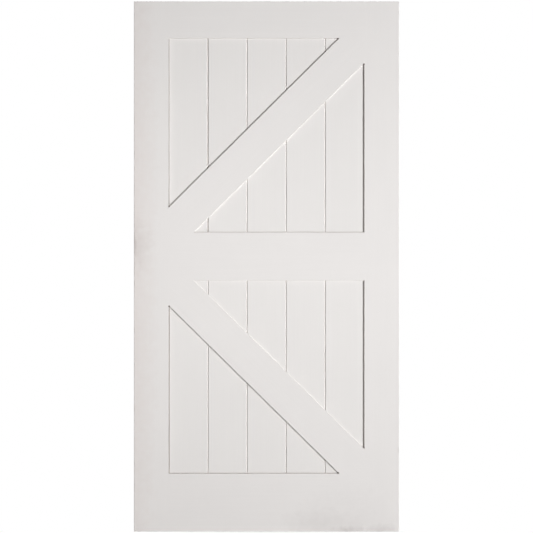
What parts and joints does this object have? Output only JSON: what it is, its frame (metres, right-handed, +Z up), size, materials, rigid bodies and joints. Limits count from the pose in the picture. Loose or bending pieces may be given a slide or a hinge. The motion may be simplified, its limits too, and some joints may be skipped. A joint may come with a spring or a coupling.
{
  "type": "sliding barn door slab",
  "caption": "White painted barn door slab with V-jointed planks in a grooved frame and diagonal braces in a K pattern on both faces.",
  "frame": {"origin": "bottom centre of the slab, on the floor line below its centre", "axes": "+Z up the slab's height, +X to the right as seen from the front, +Y through the thickness away from the front face"},
  "size_m": [1.067, 0.035, 2.134],
  "materials": {
    "painted_frame": "white satin paint, rolled",
    "painted_planks": "white satin paint, brushed",
    "painted_braces": "white satin paint, rolled",
    "beech_dowels": "bare turned wood"
  },
  "bodies": {
    "root": {"left_stile": "painted_frame", "right_stile": "painted_frame", "top_rail": "painted_frame", "mid_rail": "painted_frame", "bottom_rail": "painted_frame", "upper_plank_1": "painted_planks", "upper_plank_2": "painted_planks", "upper_plank_3": "painted_planks", "upper_plank_4": "painted_planks", "upper_plank_5": "painted_planks", "lower_plank_1": "painted_planks", "lower_plank_2": "painted_planks", "lower_plank_3": "painted_planks", "lower_plank_4": "painted_planks", "lower_plank_5": "painted_planks", "upper_brace_front": "painted_braces", "lower_brace_front": "painted_braces", "upper_brace_back": "painted_braces", "lower_brace_back": "painted_braces", "top_left_dowels": "beech_dowels", "top_right_dowels": "beech_dowels", "mid_left_dowels": "beech_dowels", "mid_right_dowels": "beech_dowels", "bottom_left_dowels": "beech_dowels", "bottom_right_dowels": "beech_dowels"}
  },
  "joints": []
}
